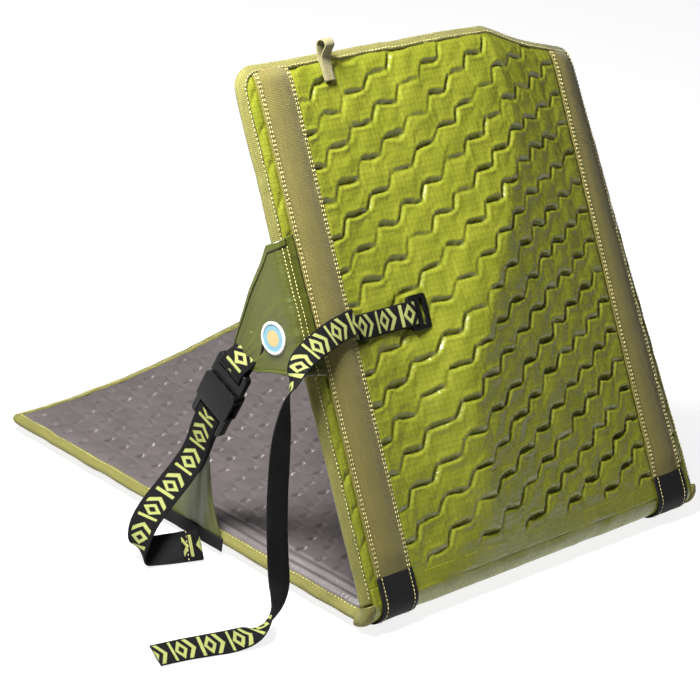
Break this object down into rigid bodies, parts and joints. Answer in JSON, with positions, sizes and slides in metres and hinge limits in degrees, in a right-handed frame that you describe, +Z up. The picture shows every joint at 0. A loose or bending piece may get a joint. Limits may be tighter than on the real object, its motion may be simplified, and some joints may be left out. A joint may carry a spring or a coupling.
{
  "type": "folding ground chair",
  "caption": "Legless folding ground chair: padded seat and back joined by a fabric fold, held at an angle by adjustable webbing straps with side-release buckles.",
  "frame": {"origin": "centre of the object's footprint box, on the floor, loose webbing ends left out", "axes": "+Y towards the front of the seat, +Z up, X across the width with the loose roll-up strap on the -X side"},
  "size_m": [0.6106, 0.4346, 0.4053],
  "materials": {
    "shell_green": "ripstop nylon, quilted, satin",
    "inner_grey": "quilted nylon, satin",
    "foam": "closed-cell foam",
    "binding_olive": "woven tape, matt",
    "sleeve_olive": "woven webbing, matt",
    "webbing_black": "woven webbing, matt",
    "patch_black": "heavy woven fabric, matt",
    "loop_khaki": "woven tape, matt",
    "buckle_black": "moulded acetal, satin",
    "stay": "glass-fibre batten",
    "badge": "moulded rubber patch"
  },
  "bodies": {
    "seat": {"fold_fabric": "shell_green", "fold_patch_left": "patch_black", "fold_patch_right": "patch_black", "load_strap_left": "webbing_black", "load_strap_right": "webbing_black", "seat_edge_binding": "binding_olive", "seat_foam_core": "foam", "seat_inner_face": "inner_grey", "seat_outer_shell": "shell_green", "seat_stay_left": "stay", "seat_stay_right": "stay", "seat_stay_sleeve_left": "sleeve_olive", "seat_stay_sleeve_right": "sleeve_olive", "seat_wing_left": "shell_green", "seat_wing_right": "shell_green", "strap_tail_left": "webbing_black", "strap_tail_right": "webbing_black", "wing_base_tape_left": "webbing_black", "wing_base_tape_right": "webbing_black"},
    "back": {"back_edge_binding": "binding_olive", "back_foam_core": "foam", "back_inner_face": "inner_grey", "back_outer_shell": "shell_green", "back_stay_left": "stay", "back_stay_right": "stay", "back_stay_sleeve_left": "sleeve_olive", "back_stay_sleeve_right": "sleeve_olive", "back_wing_left": "shell_green", "back_wing_right": "shell_green", "buckle_tab_left": "webbing_black", "buckle_tab_right": "webbing_black", "hang_loop": "loop_khaki", "roll_strap_tab": "webbing_black", "roll_strap_tail": "webbing_black", "wing_badge": "badge"},
    "roll_lock": {"roll_ladder_lock": "buckle_black"},
    "buckle_left": {"buckle_male_left": "buckle_black"},
    "clasp_left": {"buckle_female_left": "buckle_black"},
    "prong_left_front": {"buckle_prong_left_front": "buckle_black"},
    "prong_left_rear": {"buckle_prong_left_rear": "buckle_black"},
    "buckle_right": {"buckle_male_right": "buckle_black"},
    "clasp_right": {"buckle_female_right": "buckle_black"},
    "prong_right_front": {"buckle_prong_right_front": "buckle_black"},
    "prong_right_rear": {"buckle_prong_right_rear": "buckle_black"}
  },
  "joints": [
    {"name": "fold", "type": "hinge", "parent": "seat", "child": "back", "pos_m": [0, -0.2017, 0.019], "axis": [1, 0, 0], "range_deg": [-61.3, 40], "deforming": ["fold_fabric", "fold_patch_left", "fold_patch_right", "back_wing_left", "back_wing_right", "seat_wing_left", "seat_wing_right", "wing_badge", "buckle_tab_left", "buckle_tab_right", "load_strap_left", "load_strap_right", "strap_tail_left", "strap_tail_right", "roll_strap_tail"]},
    {"name": "strap_swing_left", "type": "hinge", "parent": "seat", "child": "buckle_left", "pos_m": [0, -0.2017, 0.019], "axis": [1, 0, 0], "range_deg": [-31, 20.5]},
    {"name": "unclip_left", "type": "slide", "parent": "buckle_left", "child": "clasp_left", "axis": [0, 0.3939, -0.9191], "range_m": [0, 0.028]},
    {"name": "press_left_front", "type": "hinge", "parent": "buckle_left", "child": "prong_left_front", "pos_m": [-0.2125, -0.03978, 0.15416], "axis": [-1, 0, 0], "range_deg": [0, 9], "stiffness_Nm_per_rad": 0.05},
    {"name": "press_left_rear", "type": "hinge", "parent": "buckle_left", "child": "prong_left_rear", "pos_m": [-0.2125, -0.05835, 0.1462], "axis": [1, 0, 0], "range_deg": [0, 9], "stiffness_Nm_per_rad": 0.05},
    {"name": "strap_swing_right", "type": "hinge", "parent": "seat", "child": "buckle_right", "pos_m": [0, -0.2017, 0.019], "axis": [1, 0, 0], "range_deg": [-31, 20.5]},
    {"name": "unclip_right", "type": "slide", "parent": "buckle_right", "child": "clasp_right", "axis": [0, 0.3939, -0.9191], "range_m": [0, 0.028]},
    {"name": "press_right_front", "type": "hinge", "parent": "buckle_right", "child": "prong_right_front", "pos_m": [0.2125, -0.03978, 0.15416], "axis": [-1, 0, 0], "range_deg": [0, 9], "stiffness_Nm_per_rad": 0.05},
    {"name": "press_right_rear", "type": "hinge", "parent": "buckle_right", "child": "prong_right_rear", "pos_m": [0.2125, -0.05835, 0.1462], "axis": [1, 0, 0], "range_deg": [0, 9], "stiffness_Nm_per_rad": 0.05},
    {"name": "roll_lock_tilt", "type": "hinge", "parent": "back", "child": "roll_lock", "pos_m": [-0.09225, -0.11822, 0.20814], "axis": [0, -0.4798, -0.8774], "range_deg": [0, 100], "deforming": ["roll_strap_tab"]}
  ],
  "couplings": [
    {"joint": "strap_swing_left", "follows": "fold", "ratio": 0.5},
    {"joint": "strap_swing_right", "follows": "fold", "ratio": 0.5}
  ]
}
